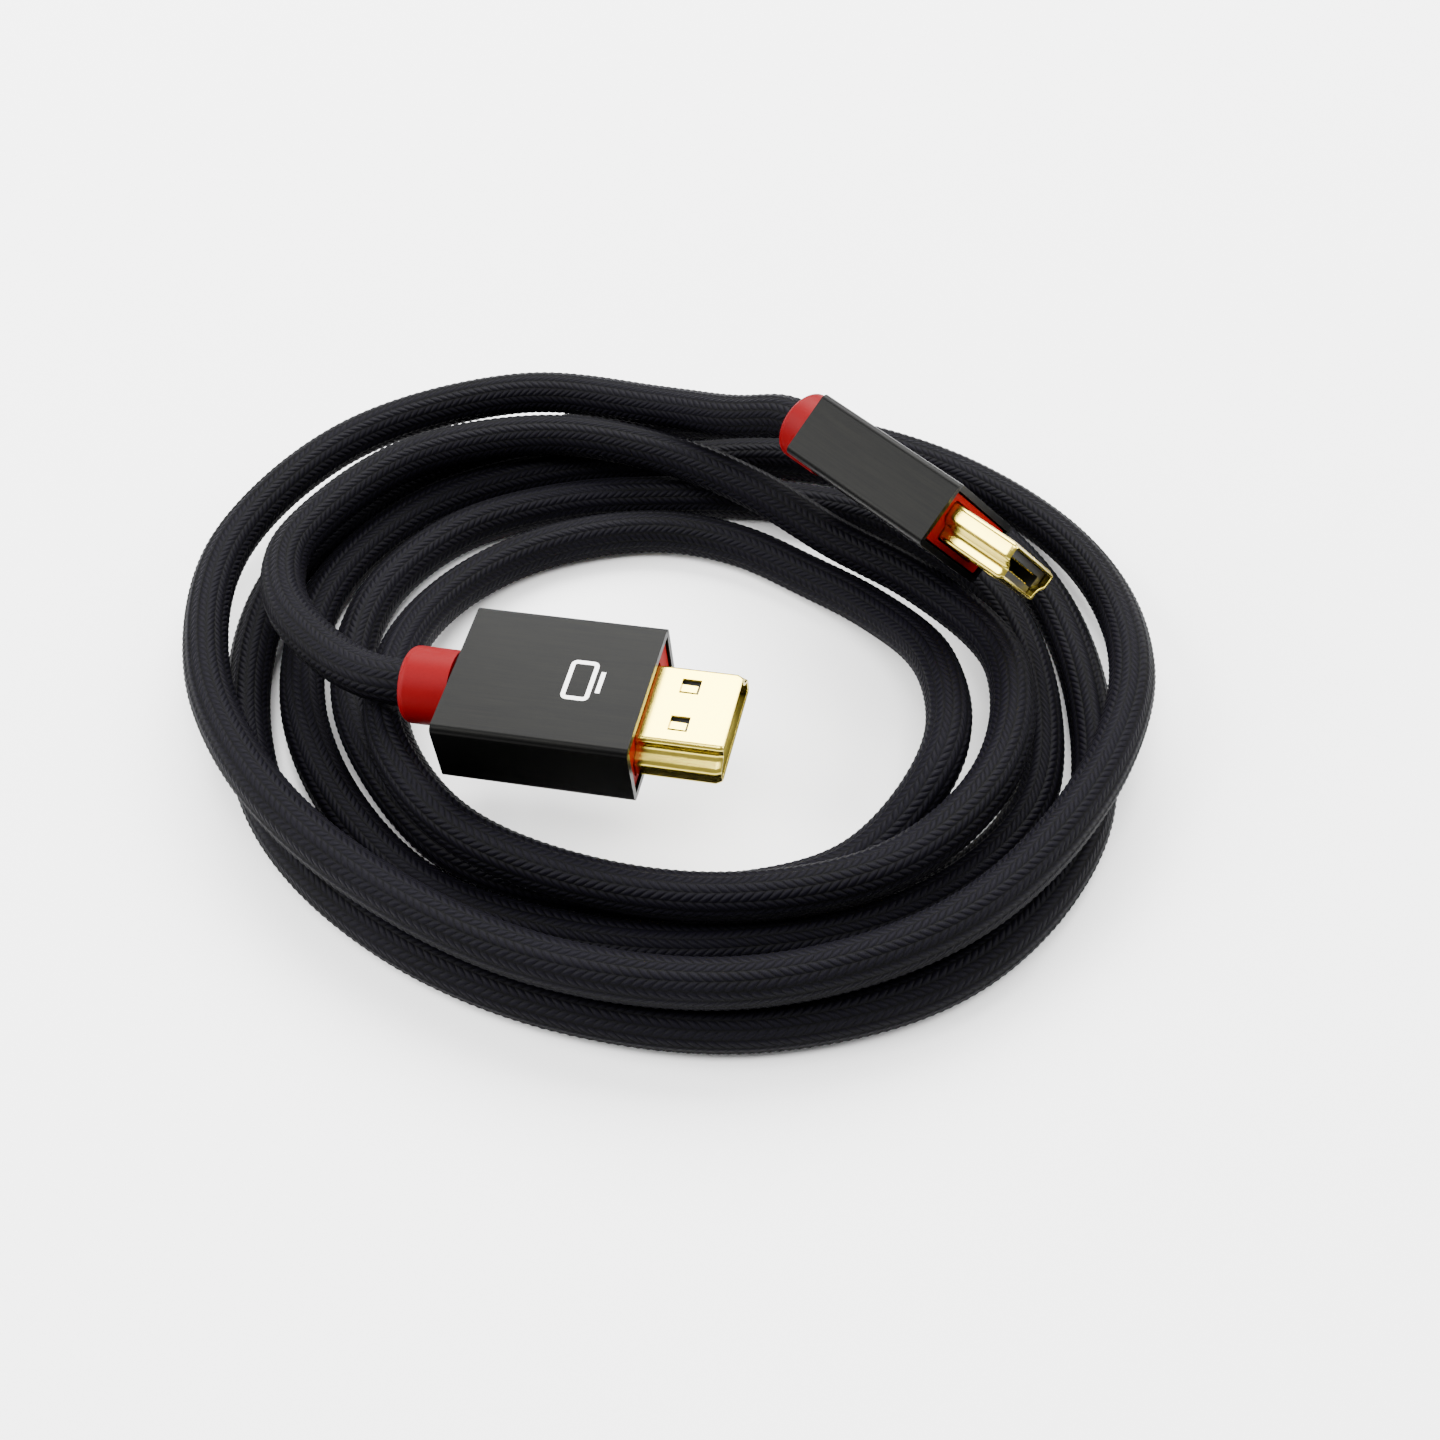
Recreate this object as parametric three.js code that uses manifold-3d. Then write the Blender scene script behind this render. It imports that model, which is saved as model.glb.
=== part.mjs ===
import * as THREE from "three";
import { mergeVertices } from "three/addons/utils/BufferGeometryUtils.js";
import Module from "manifold-3d";

const wasm = await Module();
wasm.setup();

// A braided video cable lying in a loose coil on a level floor, with a plug at each end. Millimetres, +Z up.

// Cable
const CABLE_DIAMETER = 5.5;
const CABLE_SIDES = 10;
const END_GAP = 0.3;

// Plug housing, a flat aluminium sleeve open at both ends
const HOUSING_LENGTH = 22;
const HOUSING_WIDTH = 18.4;
const HOUSING_THICKNESS = 8.4;
const HOUSING_WALL = 0.8;
const HOUSING_CORNER = 0.8;
const BORE_CORNER = 0.4;

// Fit between one plug piece and the next, and the arc pieces of a rounded corner
const FIT = 0.25;
const CORNER_STEPS = 4;

// Metal shell of the plug, standing out of the housing mouth
const SHELL_WIDTH = 13.9;
const SHELL_HEIGHT = 4.45;
const SHELL_NARROW_WIDTH = 10.8;
const SHELL_OUT = 9.3;
const SHELL_INSIDE = 5;
const SHELL_WALL = 0.35;
const SHELL_CORNER = 0.5;
const LEAST_CORNER = 0.15;
const SHOULDER_LOW = -0.1;
const SHOULDER_HIGH = 0.8;

// Latch windows in the narrow face of the shell
const WINDOW_LENGTH = 2.1;
const WINDOW_WIDTH = 2.0;
const WINDOW_FROM_MOUTH = 3.9;
const WINDOW_SPACING = 5.3;
const WINDOW_CUT_DEPTH = 1;

// Nose insert, contact carrier and collar
const NOSE_RECESS = 0.3;
const NOSE_LENGTH = 6;
const CARRIER_RECESS = 1;
const CARRIER_LENGTH = 11;
const SLOT_WIDTH = 10;
const SLOT_HEIGHT = 1.6;
const SLOT_DEPTH = 6.5;
const COLLAR_DIAMETER = 8.8;
const COLLAR_OUT = 6.2;
const COLLAR_BLOCK = 5;
const COLLAR_RECESS = 0.3;
const COLLAR_ROUND = 1;
const ROUND_SIDES = 32;

// Where each plug lies: middle of its mouth, then heading, rise and roll in degrees,
// and how far the cable runs on straight behind its collar
const PLUG_A = { mouth: [-0.4, -20.9, 17], heading: -13.1, rise: 4, roll: 3, stub: 3 };
const PLUG_B = { mouth: [36.4, 7.0, 17.8], heading: -47.1, rise: -0.9, roll: 129.6, stub: 1.5 };

// The coil, one row a turn: radius and height of the cable's middle every 30 degrees, first at the far side
const KNOT_STEP = 30;
const FIRST_ANGLE = 90;
const RADII = [
  [38.3, 51.2, 58.3, 54.9, 50.2, 48.0, 50.2, 53.0, 54.2, 56.3, 55.2, 49.6],
  [47.4, 47.0, 51.3, 50.3, 50.0, 49.3, 51.2, 55.4, 55.0, 50.7, 48.6, 43.8],
  [38.2, 40.4, 44.6, 44.0, 42.5, 42.5, 41.2, 45.2, 48.1, 44.7, 41.6, 34.4],
  [31.2, 33.6, 37.8, 37.9, 36.4, 36.4, 34.9, 37.9, 37.4, 31.5, 25.1, 23.6],
  [24.3, 25.8, 29.0, 31.2, 35.2, 37.6, 38.4, 43.2, 44.0, 39.8, 30.4, 28.8],
  [32.6, 41.7, 48.5],
];
const HEIGHTS = [
  [12.2, 9.1, 6.8, 7.6, 8.9, 8.9, 8.8, 8.9, 8.9, 7.3, 2.8, 2.8],
  [2.8, 2.8, 2.8, 2.8, 2.8, 2.8, 2.8, 2.8, 2.8, 2.8, 2.8, 2.8],
  [2.8, 2.8, 2.8, 2.8, 2.8, 2.8, 2.8, 2.8, 2.8, 2.8, 2.8, 2.8],
  [2.8, 2.8, 2.8, 2.8, 2.8, 2.8, 2.8, 2.9, 8.2, 6.4, 2.8, 2.8],
  [2.8, 2.8, 2.9, 6.0, 8.8, 8.8, 8.4, 8.8, 8.8, 7.9, 5.8, 7.5],
  [9.0, 9.0, 9.1],
];
const STEPS_PER_TURN = 15;

// The cable's way from the collar of plug B down to the coil
const LEAD = [
  [9.3, 32.4, 15.4],
];

// The curl from the last turn round to the collar of plug A
const CURL = [
  [-46.2, 15.0, 9.5],
  [-46.4, 7.4, 10.2],
  [-44.0, 0.3, 11.2],
  [-39.7, -5.8, 12.4],
  [-35.9, -10.0, 13.4],
];

// Shift that puts the middle of the whole object over the origin
const SHIFT = [-0.15, 1.95, 0];

// Colours
const BLACK = { color: 0x26262c, roughness: 0.8, metalness: 0 };
const GREY = { color: 0x55555a, roughness: 0.4, metalness: 1 };
const RED = { color: 0xb01818, roughness: 0.45, metalness: 0 };
const GOLD = { color: 0xe6c25a, roughness: 0.25, metalness: 1 };

const root = new THREE.Group();

function mesh(name, geometry, look) {
  const made = new THREE.Mesh(geometry, new THREE.MeshStandardMaterial(look));
  made.name = name;
  return made;
}

function toSolid(geometry) {
  const bare = geometry.clone();
  bare.deleteAttribute("normal");
  bare.deleteAttribute("uv");
  const merged = mergeVertices(bare, 1e-4);
  return new wasm.Manifold(
    new wasm.Mesh({
      numProp: 3,
      vertProperties: new Float32Array(merged.attributes.position.array),
      triVerts: new Uint32Array(merged.index.array),
    }),
  );
}

function toGeometry(solid) {
  const data = solid.getMesh();
  const geometry = new THREE.BufferGeometry();
  geometry.setAttribute("position", new THREE.BufferAttribute(data.vertProperties, 3));
  geometry.setIndex(new THREE.BufferAttribute(data.triVerts, 1));
  geometry.computeVertexNormals();
  return geometry;
}

// Cable route

const radii = RADII.flat();
const heights = HEIGHTS.flat();

// Smooth value between the hand-chosen ones, at a place counted in knots
function between(values, place) {
  const i = Math.min(Math.floor(place), values.length - 2);
  const t = place - i;
  const p = [i - 1, i, i + 1, i + 2].map((k) => values[Math.max(0, Math.min(values.length - 1, k))]);
  const a = (p[2] - p[0]) / 2;
  const b = (p[3] - p[1]) / 2;
  const t2 = t * t;
  const t3 = t2 * t;
  return p[1] * (2 * t3 - 3 * t2 + 1) + a * (t3 - 2 * t2 + t) + p[2] * (3 * t2 - 2 * t3) + b * (t3 - t2);
}

function coilPoint(degrees) {
  const place = (degrees - FIRST_ANGLE) / KNOT_STEP;
  const radius = between(radii, place);
  const angle = THREE.MathUtils.degToRad(degrees);
  return new THREE.Vector3(
    radius * Math.cos(angle),
    radius * Math.sin(angle),
    Math.max(between(heights, place), CABLE_DIAMETER / 2),
  );
}

function plugMatrix(plug) {
  const turn = new THREE.Euler(
    THREE.MathUtils.degToRad(plug.roll),
    -THREE.MathUtils.degToRad(plug.rise),
    THREE.MathUtils.degToRad(plug.heading),
    "ZYX",
  );
  return new THREE.Matrix4().compose(
    new THREE.Vector3(...plug.mouth),
    new THREE.Quaternion().setFromEuler(turn),
    new THREE.Vector3(1, 1, 1),
  );
}

// A point on a plug's long axis, so far behind its mouth
function behind(plug, distance) {
  return new THREE.Vector3(-distance, 0, 0).applyMatrix4(plugMatrix(plug));
}

const collarEnd = HOUSING_LENGTH + COLLAR_OUT;
const cableEnd = collarEnd + END_GAP;
const stepDegrees = 360 / STEPS_PER_TURN;
const lastAngle = FIRST_ANGLE + (radii.length - 1) * KNOT_STEP;

const route = [behind(PLUG_B, cableEnd), behind(PLUG_B, cableEnd + PLUG_B.stub)];
for (const point of LEAD) route.push(new THREE.Vector3(...point));
for (let degrees = FIRST_ANGLE; degrees <= lastAngle; degrees += stepDegrees) route.push(coilPoint(degrees));
for (const point of CURL) route.push(new THREE.Vector3(...point));
route.push(behind(PLUG_A, cableEnd + PLUG_A.stub), behind(PLUG_A, cableEnd));

// The curve through the route points, with one tube ring at each of them
class RoutePath extends THREE.CatmullRomCurve3 {
  getPointAt(u) {
    return this.getPoint(u);
  }

  getTangentAt(u) {
    return this.getTangent(u);
  }
}

function cableGeometry() {
  const section = new THREE.Shape();
  for (let i = 0; i < CABLE_SIDES; i += 1) {
    const angle = ((i + 0.5) * 2 * Math.PI) / CABLE_SIDES;
    const x = (CABLE_DIAMETER / 2) * Math.cos(angle);
    const y = (CABLE_DIAMETER / 2) * Math.sin(angle);
    if (i === 0) section.moveTo(x, y);
    else section.lineTo(x, y);
  }
  section.closePath();
  return new THREE.ExtrudeGeometry(section, {
    steps: route.length - 1,
    extrudePath: new RoutePath(route, false, "centripetal"),
    bevelEnabled: false,
  });
}

root.add(mesh("cable", cableGeometry(), BLACK));

// Plug pieces, each along its own X with the mouth at X = 0 and the narrow side of the shell up

function roundedRectangle(width, height, corner) {
  const shape = new THREE.Shape();
  const x = width / 2 - corner;
  const y = height / 2 - corner;
  shape.absarc(x, y, corner, 0, Math.PI / 2);
  shape.absarc(-x, y, corner, Math.PI / 2, Math.PI);
  shape.absarc(-x, -y, corner, Math.PI, Math.PI * 1.5);
  shape.absarc(x, -y, corner, Math.PI * 1.5, Math.PI * 2);
  shape.closePath();
  return shape;
}

// Outline of the metal shell, grown outwards by so much
function shellOutline(grow) {
  const wide = SHELL_WIDTH / 2 + grow;
  const narrow = SHELL_NARROW_WIDTH / 2 + grow;
  const half = SHELL_HEIGHT / 2 + grow;
  const corner = Math.max(SHELL_CORNER + grow, LEAST_CORNER);
  const shape = new THREE.Shape();
  shape.moveTo(-wide + corner, -half);
  shape.lineTo(wide - corner, -half);
  shape.quadraticCurveTo(wide, -half, wide, -half + corner);
  shape.lineTo(wide, SHOULDER_LOW);
  shape.lineTo(narrow, SHOULDER_HIGH);
  shape.lineTo(narrow, half - corner);
  shape.quadraticCurveTo(narrow, half, narrow - corner, half);
  shape.lineTo(-narrow + corner, half);
  shape.quadraticCurveTo(-narrow, half, -narrow, half - corner);
  shape.lineTo(-narrow, SHOULDER_HIGH);
  shape.lineTo(-wide, SHOULDER_LOW);
  shape.lineTo(-wide, -half + corner);
  shape.quadraticCurveTo(-wide, -half, -wide + corner, -half);
  return shape;
}

// A flat outline drawn in Y and Z, carried along X from one place to another
function along(shape, from, to, hole) {
  if (hole) shape.holes.push(hole);
  const geometry = new THREE.ExtrudeGeometry(shape, {
    depth: to - from,
    bevelEnabled: false,
    curveSegments: CORNER_STEPS,
  });
  geometry.applyMatrix4(new THREE.Matrix4().makeBasis(
    new THREE.Vector3(0, 1, 0),
    new THREE.Vector3(0, 0, 1),
    new THREE.Vector3(1, 0, 0),
  ));
  geometry.translate(from, 0, 0);
  return geometry;
}

function block(length, width, height, x, y, z) {
  return toSolid(new THREE.BoxGeometry(length, width, height).translate(x, y, z));
}

const boreWidth = HOUSING_WIDTH - 2 * HOUSING_WALL;
const boreHeight = HOUSING_THICKNESS - 2 * HOUSING_WALL;

function housingGeometry() {
  return along(
    roundedRectangle(HOUSING_WIDTH, HOUSING_THICKNESS, HOUSING_CORNER),
    -HOUSING_LENGTH,
    0,
    roundedRectangle(boreWidth, boreHeight, BORE_CORNER),
  );
}

function insertShape() {
  return roundedRectangle(boreWidth - 2 * FIT, boreHeight - 2 * FIT, BORE_CORNER);
}

function noseGeometry() {
  return along(insertShape(), -NOSE_RECESS - NOSE_LENGTH, -NOSE_RECESS, shellOutline(FIT));
}

function shellGeometry() {
  let shell = toSolid(along(shellOutline(0), -SHELL_INSIDE, SHELL_OUT, shellOutline(-SHELL_WALL)));
  for (const side of [-1, 1]) {
    shell = shell.subtract(block(
      WINDOW_LENGTH,
      WINDOW_WIDTH,
      WINDOW_CUT_DEPTH,
      WINDOW_FROM_MOUTH,
      (side * WINDOW_SPACING) / 2,
      SHELL_HEIGHT / 2,
    ));
  }
  return toGeometry(shell);
}

function carrierGeometry() {
  const tip = SHELL_OUT - CARRIER_RECESS;
  const body = toSolid(along(shellOutline(-SHELL_WALL - FIT), tip - CARRIER_LENGTH, tip));
  const slot = block(SLOT_DEPTH * 2, SLOT_WIDTH, SLOT_HEIGHT, tip, 0, 0);
  return toGeometry(body.subtract(slot));
}

function collarGeometry() {
  const rear = -HOUSING_LENGTH + COLLAR_RECESS;
  const blockPart = toSolid(along(insertShape(), rear, rear + COLLAR_BLOCK));
  const radius = COLLAR_DIAMETER / 2;
  const length = COLLAR_OUT + COLLAR_RECESS + COLLAR_BLOCK / 2;
  const profile = [new THREE.Vector2(0, 0), new THREE.Vector2(radius - COLLAR_ROUND, 0)];
  for (let i = 1; i <= CORNER_STEPS; i += 1) {
    const angle = (i / CORNER_STEPS) * (Math.PI / 2);
    profile.push(new THREE.Vector2(
      radius - COLLAR_ROUND + COLLAR_ROUND * Math.sin(angle),
      COLLAR_ROUND - COLLAR_ROUND * Math.cos(angle),
    ));
  }
  const inside = HOUSING_THICKNESS / 2 - HOUSING_WALL - FIT;
  profile.push(new THREE.Vector2(radius, COLLAR_OUT - FIT));
  profile.push(new THREE.Vector2(inside, COLLAR_OUT - FIT));
  profile.push(new THREE.Vector2(inside, length));
  profile.push(new THREE.Vector2(0, length));
  const turned = new THREE.LatheGeometry(profile, ROUND_SIDES);
  turned.rotateZ(-Math.PI / 2);
  turned.translate(-HOUSING_LENGTH - COLLAR_OUT, 0, 0);
  return toGeometry(blockPart.add(toSolid(turned)));
}

function addPlug(letter, plug) {
  const group = new THREE.Group();
  group.applyMatrix4(plugMatrix(plug));
  group.add(mesh("housing_" + letter, housingGeometry(), GREY));
  group.add(mesh("nose_" + letter, noseGeometry(), RED));
  group.add(mesh("shell_" + letter, shellGeometry(), GOLD));
  group.add(mesh("carrier_" + letter, carrierGeometry(), BLACK));
  group.add(mesh("collar_" + letter, collarGeometry(), RED));
  root.add(group);
}

addPlug("a", PLUG_A);
addPlug("b", PLUG_B);
root.position.set(...SHIFT);

export default root;
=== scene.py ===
# %% [markdown]
# # A braided video cable in a loose coil
# The real object is about a metre and a half of round cable under a black nylon braid. It lies in five
# loose turns on a table, with one flat plug held up inside the coil and the other leaning on top of its
# far side. The solids of the part come first, as a fixed frame, and every finer piece below takes its
# place from them.

import math

import bmesh
import bpy
import numpy as np
from mathutils import Matrix, Vector


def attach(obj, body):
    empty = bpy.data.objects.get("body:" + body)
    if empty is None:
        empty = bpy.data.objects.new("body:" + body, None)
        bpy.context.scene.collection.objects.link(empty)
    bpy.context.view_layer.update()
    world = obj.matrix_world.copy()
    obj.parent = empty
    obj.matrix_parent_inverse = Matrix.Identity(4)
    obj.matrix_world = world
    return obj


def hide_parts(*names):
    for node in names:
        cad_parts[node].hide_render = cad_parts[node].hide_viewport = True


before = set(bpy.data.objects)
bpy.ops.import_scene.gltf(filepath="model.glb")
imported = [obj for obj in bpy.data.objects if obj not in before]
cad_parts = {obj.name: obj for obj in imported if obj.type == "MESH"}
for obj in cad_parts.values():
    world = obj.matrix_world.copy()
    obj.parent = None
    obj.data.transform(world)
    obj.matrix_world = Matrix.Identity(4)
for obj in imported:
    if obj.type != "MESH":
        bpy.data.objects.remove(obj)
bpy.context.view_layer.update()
MM = 0.001
print("solids:", sorted(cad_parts))

# %% [markdown]
# ## Camera
# The photograph looks down at the coil from the front at 48 degrees. Near strands are clearly wider than
# far ones, so the camera stands close, about 215 mm from the middle. It looks along +Y, so it only has to
# be tipped up from straight down, and one angle about X is enough.

# %% Put the camera at the photograph's viewing angle
CAMERA_ELEVATION = math.radians(48)
CAMERA_DISTANCE = 215 * MM
CAMERA_TARGET = Vector((6.85, -9.05, 5.0)) * MM
SENSOR_WIDTH = 36
FOCAL_LENGTH = 45.75
NEAREST_SEEN = 10 * MM
back = Vector((0, -math.cos(CAMERA_ELEVATION), math.sin(CAMERA_ELEVATION)))
lens = bpy.data.cameras.new("photo_camera")
lens.sensor_width = SENSOR_WIDTH
lens.lens = FOCAL_LENGTH
lens.clip_start = NEAREST_SEEN
camera = bpy.data.objects.new("photo_camera", lens)
camera.location = CAMERA_TARGET + CAMERA_DISTANCE * back
camera.rotation_euler = (math.pi / 2 - CAMERA_ELEVATION, 0, 0)
bpy.context.collection.objects.link(camera)
bpy.context.scene.camera = camera
print("camera at", [round(value / MM, 1) for value in camera.location], "mm")

# %% [markdown]
# ## The way that the cable takes
# A cable is a fixed length that leaves one plug, winds round and ends in the other. The coil is a list of
# radii and heights, one for every 30 degrees, because it is far easier to push one strand of a loose coil
# in or out in those terms than as free points. The few points that lead to the plugs are free ones.

# %% Where the plugs lie, and the coil's radii and heights in millimetres
HOUSING_LENGTH = 22
COLLAR_OUT = 6.2
END_GAP = 0.3
CABLE_DIAMETER = 5.5
SHIFT = Vector((-0.15, 1.95, 0))
PLUG_A = {"mouth": (-0.4, -20.9, 17), "heading": -13.1, "rise": 4, "roll": 3, "stub": 3}
PLUG_B = {"mouth": (36.4, 7.0, 17.8), "heading": -47.1, "rise": -0.9, "roll": 129.6, "stub": 1.5}
KNOT_STEP = 30
FIRST_ANGLE = 90
STEPS_PER_TURN = 15
RADII = [
    38.3, 51.2, 58.3, 54.9, 50.2, 48.0, 50.2, 53.0, 54.2, 56.3, 55.2, 49.6,
    47.4, 47.0, 51.3, 50.3, 50.0, 49.3, 51.2, 55.4, 55.0, 50.7, 48.6, 43.8,
    38.2, 40.4, 44.6, 44.0, 42.5, 42.5, 41.2, 45.2, 48.1, 44.7, 41.6, 34.4,
    31.2, 33.6, 37.8, 37.9, 36.4, 36.4, 34.9, 37.9, 37.4, 31.5, 25.1, 23.6,
    24.3, 25.8, 29.0, 31.2, 35.2, 37.6, 38.4, 43.2, 44.0, 39.8, 30.4, 28.8,
    32.6, 41.7, 48.5,
]
HEIGHTS = [
    12.2, 9.1, 6.8, 7.6, 8.9, 8.9, 8.8, 8.9, 8.9, 7.3, 2.8, 2.8,
    2.8, 2.8, 2.8, 2.8, 2.8, 2.8, 2.8, 2.8, 2.8, 2.8, 2.8, 2.8,
    2.8, 2.8, 2.8, 2.8, 2.8, 2.8, 2.8, 2.8, 2.8, 2.8, 2.8, 2.8,
    2.8, 2.8, 2.8, 2.8, 2.8, 2.8, 2.8, 2.9, 8.2, 6.4, 2.8, 2.8,
    2.8, 2.8, 2.9, 6.0, 8.8, 8.8, 8.4, 8.8, 8.8, 7.9, 5.8, 7.5,
    9.0, 9.0, 9.1,
]
LEAD = [(9.3, 32.4, 15.4)]
CURL = [
    (-46.2, 15.0, 9.5), (-46.4, 7.4, 10.2), (-44.0, 0.3, 11.2), (-39.7, -5.8, 12.4), (-35.9, -10.0, 13.4),
]


def plug_matrix(plug):
    turn = (
        Matrix.Rotation(math.radians(plug["heading"]), 4, "Z")
        @ Matrix.Rotation(-math.radians(plug["rise"]), 4, "Y")
        @ Matrix.Rotation(math.radians(plug["roll"]), 4, "X")
    )
    return Matrix.Translation(Vector(plug["mouth"])) @ turn


def behind(plug, distance):
    return plug_matrix(plug) @ Vector((-distance, 0, 0))


print("plug A's mouth is", PLUG_A["mouth"][2], "mm above the floor")

# %% Work out the points of the way
def curve_between(start, leave, end, arrive, t):
    near = 2 * t**3 - 3 * t**2 + 1
    return start * near + leave * (t**3 - 2 * t**2 + t) + end * (1 - near) + arrive * (t**3 - t**2)


def between(values, place):
    last = len(values) - 1
    i = min(math.floor(place), last - 1)
    before, start, end, after = (values[max(0, min(last, k))] for k in (i - 1, i, i + 1, i + 2))
    return curve_between(start, (end - before) / 2, end, (after - start) / 2, place - i)


def coil_point(degrees):
    place = (degrees - FIRST_ANGLE) / KNOT_STEP
    radius = between(RADII, place)
    angle = math.radians(degrees)
    height = max(between(HEIGHTS, place), CABLE_DIAMETER / 2)
    return Vector((radius * math.cos(angle), radius * math.sin(angle), height))


cable_end = HOUSING_LENGTH + COLLAR_OUT + END_GAP
step = 360 / STEPS_PER_TURN
steps = int((len(RADII) - 1) * KNOT_STEP / step)
way = [behind(PLUG_B, cable_end), behind(PLUG_B, cable_end + PLUG_B["stub"])]
way += [Vector(point) for point in LEAD]
way += [coil_point(FIRST_ANGLE + i * step) for i in range(steps + 1)]
way += [Vector(point) for point in CURL]
way += [behind(PLUG_A, cable_end + PLUG_A["stub"]), behind(PLUG_A, cable_end)]
way = np.array([(point + SHIFT) * MM for point in way])
print("points on the way:", len(way))

# %% [markdown]
# The points are about 20 mm apart, so a smooth curve is drawn through them. A centripetal spline is used,
# because it doesn't swing wide where a short stretch meets a long one, as it does at the collars. It is
# then walked in equal small steps of half a millimetre, one for every ring of the braid, and smoothed a
# little, since a stiff cable has no sudden changes of bend.

# %% Draw the smooth line and walk along it in equal steps
PIECES_PER_STRETCH = 24
RING_STEP = 0.5 * MM
SMOOTH_ROUNDS = 25


def spline_through(points):
    ends = [2 * points[0] - points[1], *points, 2 * points[-1] - points[-2]]
    line = []
    for p0, p1, p2, p3 in zip(ends, ends[1:], ends[2:], ends[3:]):
        d0, d1, d2 = (np.linalg.norm(b - a) ** 0.5 for a, b in ((p0, p1), (p1, p2), (p2, p3)))
        leave = ((p1 - p0) / d0 - (p2 - p0) / (d0 + d1) + (p2 - p1) / d1) * d1
        arrive = ((p2 - p1) / d1 - (p3 - p1) / (d1 + d2) + (p3 - p2) / d2) * d1
        for t in np.arange(PIECES_PER_STRETCH) / PIECES_PER_STRETCH:
            line.append(curve_between(p1, leave, p2, arrive, t))
    line.append(points[-1])
    return np.array(line)


def walk(line, stride):
    along = np.r_[0, np.cumsum(np.linalg.norm(np.diff(line, axis=0), axis=1))]
    count = int(round(along[-1] / stride)) + 1
    places = np.linspace(0, along[-1], count)
    return np.stack([np.interp(places, along, line[:, k]) for k in range(3)], axis=1), along[-1]


centres, cable_length = walk(spline_through(way), RING_STEP)
for _ in range(SMOOTH_ROUNDS):
    centres[1:-1] = (centres[:-2] + 2 * centres[1:-1] + centres[2:]) / 4
print("cable length", round(cable_length / MM), "mm in", len(centres), "rings")

# %% [markdown]
# ## Materials
# Every finish starts from what the real one is. One function turns the colours, written as on a web page,
# into the linear values that the renderer adds up. One adds a node with its settings and links, and one
# starts a new material with the plain shader that all of them build on.

# %% Three helpers for materials
def linear(colour):
    channels = [int(colour[i:i + 2], 16) / 255 for i in (1, 3, 5)]
    return [c / 12.92 if c <= 0.04045 else ((c + 0.055) / 1.055) ** 2.4 for c in channels] + [1]


def add_node(tree, kind, settings=None, values=None, links=None):
    made = tree.nodes.new(kind)
    for name, value in (settings or {}).items():
        setattr(made, name, value)
    for name, value in (values or {}).items():
        made.inputs[name].default_value = value
    for name, source in (links or {}).items():
        tree.links.new(source, made.inputs[name])
    return made


def start_material(name):
    made = bpy.data.materials.new(name)
    made.use_nodes = True
    return made, made.node_tree, made.node_tree.nodes["Principled BSDF"]


print("a middle grey in linear values:", [round(c, 3) for c in linear("#808080")])

# %% [markdown]
# ### Black nylon braid
# Sixteen bundles of nylon yarn are plaited round the cable. Each column of stitches runs along the cable,
# and its stitches lean the other way from those of the next column, which gives a herringbone. The
# columns and stitches are real bumps in the mesh. The material adds the lean, the single yarns and
# painted shade, darker in the gaps and lighter on the crests, from a map of its own that counts once
# round the cable and in millimetres along it. A real stitch is finer, and these are drawn a millimetre
# long so that they show.

# %% Nylon braid: where each point lies in its column and its stitch
COLUMNS = 16
STITCH = 1.0
braid, tree, shader = start_material("nylon_braid_black")
place = add_node(tree, "ShaderNodeUVMap", {"uv_map": "round_and_along"})
split = add_node(tree, "ShaderNodeSeparateXYZ", links={0: place.outputs[0]})
column = add_node(tree, "ShaderNodeMath", {"operation": "MULTIPLY"}, {1: COLUMNS}, {0: split.outputs[0]})
count = add_node(tree, "ShaderNodeMath", {"operation": "FLOOR"}, links={0: column.outputs[0]})
odd = add_node(tree, "ShaderNodeMath", {"operation": "MODULO"}, {1: 2}, {0: count.outputs[0]})
lean = add_node(tree, "ShaderNodeMath", {"operation": "MULTIPLY_ADD"}, {1: 2, 2: -1}, {0: odd.outputs[0]})
across = add_node(tree, "ShaderNodeMath", {"operation": "FRACT"}, links={0: column.outputs[0]})
side = add_node(tree, "ShaderNodeMath", {"operation": "SUBTRACT"}, {1: 0.5}, {0: across.outputs[0]})
slant = add_node(
    tree,
    "ShaderNodeMath",
    {"operation": "MULTIPLY"},
    links={0: side.outputs[0], 1: lean.outputs[0]},
)
half = add_node(
    tree,
    "ShaderNodeMath",
    {"operation": "MULTIPLY_ADD"},
    {1: 0.5},
    {0: odd.outputs[0], 2: slant.outputs[0]},
)
stitch = add_node(
    tree,
    "ShaderNodeMath",
    {"operation": "MULTIPLY_ADD"},
    {1: 1 / STITCH},
    {0: split.outputs[1], 2: half.outputs[0]},
)
print("braid columns", COLUMNS, "each", round(math.pi * CABLE_DIAMETER / COLUMNS, 2), "mm wide")

# %% Nylon braid: the relief of the stitches and their yarns
YARNS_PER_STITCH = (1.2, 6, 1)
YARN_SHARE = 0.35
turned = add_node(tree, "ShaderNodeMath", {"operation": "MULTIPLY"}, {1: math.pi}, {0: stitch.outputs[0]})
wave = add_node(tree, "ShaderNodeMath", {"operation": "SINE"}, links={0: turned.outputs[0]})
bulge = add_node(tree, "ShaderNodeMath", {"operation": "ABSOLUTE"}, links={0: wave.outputs[0]})
arch = add_node(tree, "ShaderNodeMath", {"operation": "MULTIPLY"}, {1: math.pi}, {0: side.outputs[0]})
crown = add_node(tree, "ShaderNodeMath", {"operation": "COSINE"}, links={0: arch.outputs[0]})
relief = add_node(
    tree,
    "ShaderNodeMath",
    {"operation": "MULTIPLY"},
    links={0: bulge.outputs[0], 1: crown.outputs[0]},
)
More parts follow.
